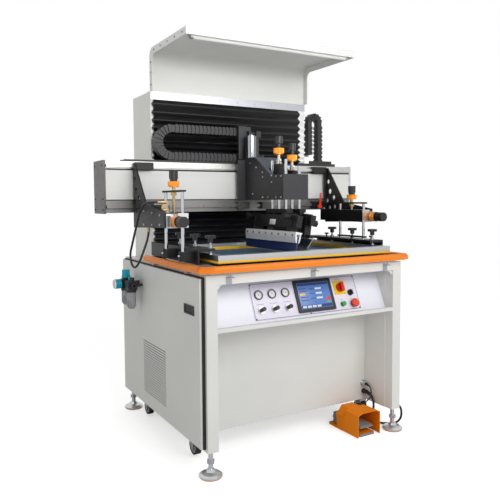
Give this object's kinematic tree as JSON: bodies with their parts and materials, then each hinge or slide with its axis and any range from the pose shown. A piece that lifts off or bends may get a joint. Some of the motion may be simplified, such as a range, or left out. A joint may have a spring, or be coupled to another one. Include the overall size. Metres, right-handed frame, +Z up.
{
  "type": "flatbed screen printer",
  "caption": "Flatbed screen printer: cabinet with console and vacuum table, lifting beam on a rear tower with squeegee carriage, screen arms, orange safety rim and hood.",
  "frame": {"origin": "on the floor under the middle of the machine's outline, without its cords", "axes": "+X to the operator's right along the beam, +Y from the operator to the rear, +Z up"},
  "size_m": [1.4545, 1.0484, 1.884],
  "materials": {
    "cabinet_paint": "satin",
    "console_paint": "satin",
    "panel_plate": "satin",
    "screen_glass": "gloss",
    "table_steel": "satin",
    "lamp_tube": "gloss",
    "bellows_fabric": "matt",
    "ground_steel": "satin",
    "blower_paint": "satin",
    "plate_zinc": "satin",
    "zinc_plate": "satin",
    "guard_orange": "satin",
    "black_rubber": "matt",
    "pedal_grey": "matt",
    "red_plastic": "gloss",
    "green_plastic": "gloss",
    "black_plastic": "matt",
    "unit_black": "matt",
    "cyan_plastic": "gloss",
    "beam_aluminium": "satin",
    "steel_grey": "satin",
    "chain_plastic": "matt",
    "head_anodised": "satin",
    "bright_aluminium": "satin",
    "blade_steel": "satin",
    "knob_orange": "gloss",
    "black_anodised": "satin",
    "lever_red": "gloss",
    "frame_aluminium": "satin",
    "mesh_fabric": "matt",
    "cord_black": "matt"
  },
  "bodies": {
    "cabinet": {"base_frame": "cabinet_paint", "cabinet_panels": "cabinet_paint", "console": "console_paint", "control_panel": "panel_plate", "touch_screen": "screen_glass", "vacuum_table": "table_steel", "tower": "cabinet_paint", "hood": "cabinet_paint", "hood_lamp": "lamp_tube", "upper_bellows": "bellows_fabric", "lower_bellows": "bellows_fabric", "lift_guides": "ground_steel", "vacuum_blower": "blower_paint", "electrical_plate": "plate_zinc", "castor_forks": "zinc_plate", "foot_switch": "guard_orange", "foot_cord": "cord_black", "cord_hank": "cord_black", "power_cord": "cord_black"},
    "feet": {"levelling_feet": "zinc_plate"},
    "front_wheels": {"front_castor_wheels": "black_rubber"},
    "rear_wheels": {"rear_castor_wheels": "black_rubber"},
    "foot_pedal": {"pedal": "pedal_grey"},
    "main_knob": {"main_switch": "red_plastic"},
    "stop": {"stop_button": "red_plastic"},
    "start": {"start_button": "green_plastic"},
    "selector_knob": {"selector": "black_plastic"},
    "regulators": {"regulator_knobs": "black_plastic"},
    "rim": {"safety_rim": "guard_orange"},
    "door": {"side_door": "cabinet_paint", "air_unit": "unit_black"},
    "air_knob": {"air_unit_knob": "cyan_plastic"},
    "latch": {"door_latch": "zinc_plate"},
    "beam_group": {"beam": "beam_aluminium", "lift_plate": "steel_grey"},
    "tower_chain": {"lift_chain": "chain_plastic"},
    "carriage_group": {"carriage": "head_anodised", "head_cylinders": "bright_aluminium", "chain_upper": "chain_plastic"},
    "chain": {"chain_bend": "chain_plastic"},
    "squeegee": {"squeegee_mount": "head_anodised", "squeegee_blade": "bright_aluminium"},
    "flood_bar": {"flood_mount": "head_anodised", "flood_blade": "blade_steel"},
    "squeegee_stop": {"squeegee_knob": "knob_orange"},
    "flood_stop": {"flood_knob": "knob_orange"},
    "arm_l": {"left_arm": "head_anodised", "air_hose": "cord_black"},
    "arm_r": {"right_arm": "head_anodised"},
    "clamp_l": {"left_clamp": "black_anodised"},
    "clamp_r": {"right_clamp": "black_anodised"},
    "screws_l": {"left_clamp_screws": "black_plastic"},
    "screws_r": {"right_clamp_screws": "black_plastic"},
    "height_l": {"left_height_knob": "knob_orange"},
    "height_r": {"right_height_knob": "knob_orange"},
    "feed_l": {"left_feed_knob": "knob_orange"},
    "feed_r": {"right_feed_knob": "knob_orange"},
    "lever": {"lock_lever": "lever_red"},
    "screen": {"screen_frame": "frame_aluminium", "screen_mesh": "mesh_fabric"}
  },
  "joints": [
    {"name": "feet_screw", "type": "slide", "parent": "cabinet", "child": "feet", "axis": [0, 0, -1], "range_m": [0, 0.025]},
    {"name": "front_wheels_roll", "type": "hinge", "parent": "cabinet", "child": "front_wheels", "pos_m": [0.034, -0.2495, 0.0495], "axis": [1, 0, 0], "continuous": true},
    {"name": "rear_wheels_roll", "type": "hinge", "parent": "cabinet", "child": "rear_wheels", "pos_m": [0.034, 0.3205, 0.0495], "axis": [1, 0, 0], "continuous": true},
    {"name": "pedal_press", "type": "hinge", "parent": "cabinet", "child": "foot_pedal", "pos_m": [0.3715, -0.3345, 0.04], "axis": [1, 0, 0], "range_deg": [0, 8], "stiffness_Nm_per_rad": 6, "springref_deg": -20.05},
    {"name": "main_switch_turn", "type": "hinge", "parent": "cabinet", "child": "main_knob", "pos_m": [0.254, -0.39689, 0.71796], "axis": [0, -0.9194, 0.3933], "range_deg": [0, 90]},
    {"name": "stop_press", "type": "slide", "parent": "cabinet", "child": "stop", "axis": [0, 0.9194, -0.3933], "range_m": [0, 0.004], "stiffness_N_per_m": 900, "springref_m": -0.004},
    {"name": "start_press", "type": "slide", "parent": "cabinet", "child": "start", "axis": [0, 0.9194, -0.3933], "range_m": [0, 0.003], "stiffness_N_per_m": 900, "springref_m": -0.003},
    {"name": "selector_turn", "type": "hinge", "parent": "cabinet", "child": "selector_knob", "pos_m": [0.309, -0.4079, 0.69221], "axis": [0, -0.9194, 0.3933], "range_deg": [-45, 45]},
    {"name": "regulators_pull", "type": "slide", "parent": "cabinet", "child": "regulators", "axis": [0, -0.9194, 0.3933], "range_m": [0, 0.003]},
    {"name": "rim_press", "type": "slide", "parent": "cabinet", "child": "rim", "axis": [0, 0, -1], "range_m": [0, 0.003], "stiffness_N_per_m": 6000, "springref_m": -0.016},
    {"name": "door_swing", "type": "hinge", "parent": "cabinet", "child": "door", "pos_m": [-0.4973, 0.4985, 0.47], "axis": [0, 0, -1], "range_deg": [0, 110]},
    {"name": "latch_turn", "type": "hinge", "parent": "door", "child": "latch", "pos_m": [-0.5103, -0.3615, 0.692], "axis": [0, 1, 0], "range_deg": [0, 40], "stiffness_Nm_per_rad": 0.05, "springref_deg": -17.19},
    {"name": "air_knob_turn", "type": "hinge", "parent": "door", "child": "air_knob", "pos_m": [-0.5643, 0.2825, 0.76], "axis": [0, 0, 1], "continuous": true},
    {"name": "beam_lift", "type": "slide", "parent": "cabinet", "child": "beam_group", "axis": [0, 0, 1], "range_m": [0, 0.18], "deforming": ["upper_bellows", "lower_bellows"]},
    {"name": "lift_chain_roll", "type": "slide", "parent": "cabinet", "child": "tower_chain", "axis": [0, 0, 1], "range_m": [0, 0.09]},
    {"name": "carriage_travel", "type": "slide", "parent": "beam_group", "child": "carriage_group", "axis": [1, 0, 0], "range_m": [-0.27, 0.21], "deforming": ["chain_upper"]},
    {"name": "chain_roll", "type": "slide", "parent": "carriage_group", "child": "chain", "axis": [1, 0, 0], "range_m": [-0.105, 0.135]},
    {"name": "squeegee_lower", "type": "slide", "parent": "carriage_group", "child": "squeegee", "axis": [0, 0, -1], "range_m": [0, 0.015]},
    {"name": "flood_lower", "type": "slide", "parent": "carriage_group", "child": "flood_bar", "axis": [0, 0, -1], "range_m": [0, 0.015]},
    {"name": "squeegee_knob_turn", "type": "hinge", "parent": "squeegee", "child": "squeegee_stop", "pos_m": [0.046, -0.1895, 1.36], "axis": [0, 0, 1], "continuous": true},
    {"name": "flood_knob_turn", "type": "hinge", "parent": "flood_bar", "child": "flood_stop", "pos_m": [0.122, -0.1895, 1.33], "axis": [0, 0, 1], "continuous": true},
    {"name": "left_arm_slide", "type": "slide", "parent": "beam_group", "child": "arm_l", "axis": [-1, 0, 0], "range_m": [0, 0.02]},
    {"name": "right_arm_slide", "type": "slide", "parent": "beam_group", "child": "arm_r", "axis": [1, 0, 0], "range_m": [0, 0.018]},
    {"name": "lock_lever_turn", "type": "hinge", "parent": "arm_r", "child": "lever", "pos_m": [0.464, 0.0415, 1.092], "axis": [0, 1, 0], "range_deg": [0, 45]},
    {"name": "right_clamp_height", "type": "slide", "parent": "arm_r", "child": "clamp_r", "axis": [0, 0, 1], "range_m": [-0.001, 0.004]},
    {"name": "left_clamp_height", "type": "slide", "parent": "arm_l", "child": "clamp_l", "axis": [0, 0, 1], "range_m": [-0.001, 0.004]},
    {"name": "right_height_turn", "type": "hinge", "parent": "clamp_r", "child": "height_r", "pos_m": [0.466, -0.2245, 1.14], "axis": [0, 0, 1], "range_deg": [-91, 361]},
    {"name": "left_height_turn", "type": "hinge", "parent": "clamp_l", "child": "height_l", "pos_m": [-0.514, -0.2245, 1.2], "axis": [0, 0, 1], "range_deg": [-91, 361]},
    {"name": "right_screws_lift", "type": "slide", "parent": "clamp_r", "child": "screws_r", "axis": [0, 0, 1], "range_m": [0, 0.006]},
    {"name": "left_screws_lift", "type": "slide", "parent": "clamp_l", "child": "screws_l", "axis": [0, 0, 1], "range_m": [0, 0.006]},
    {"name": "left_feed_turn", "type": "hinge", "parent": "arm_l", "child": "feed_l", "pos_m": [-0.552, -0.3395, 1.044], "axis": [0, 1, 0], "continuous": true},
    {"name": "right_feed_turn", "type": "hinge", "parent": "arm_r", "child": "feed_r", "pos_m": [0.504, -0.3395, 1.044], "axis": [0, 1, 0], "continuous": true},
    {"name": "screen_slide", "type": "slide", "parent": "clamp_r", "child": "screen", "axis": [0, -1, 0], "range_m": [0, 0.09]}
  ],
  "couplings": [
    {"joint": "lift_chain_roll", "follows": "beam_lift", "ratio": 0.5},
    {"joint": "chain_roll", "follows": "carriage_travel", "ratio": -0.5},
    {"joint": "left_clamp_height", "follows": "right_clamp_height", "ratio": 1},
    {"joint": "right_height_turn", "follows": "right_clamp_height", "rad_per_m": 1570.8},
    {"joint": "left_height_turn", "follows": "right_clamp_height", "rad_per_m": 1570.8}
  ]
}
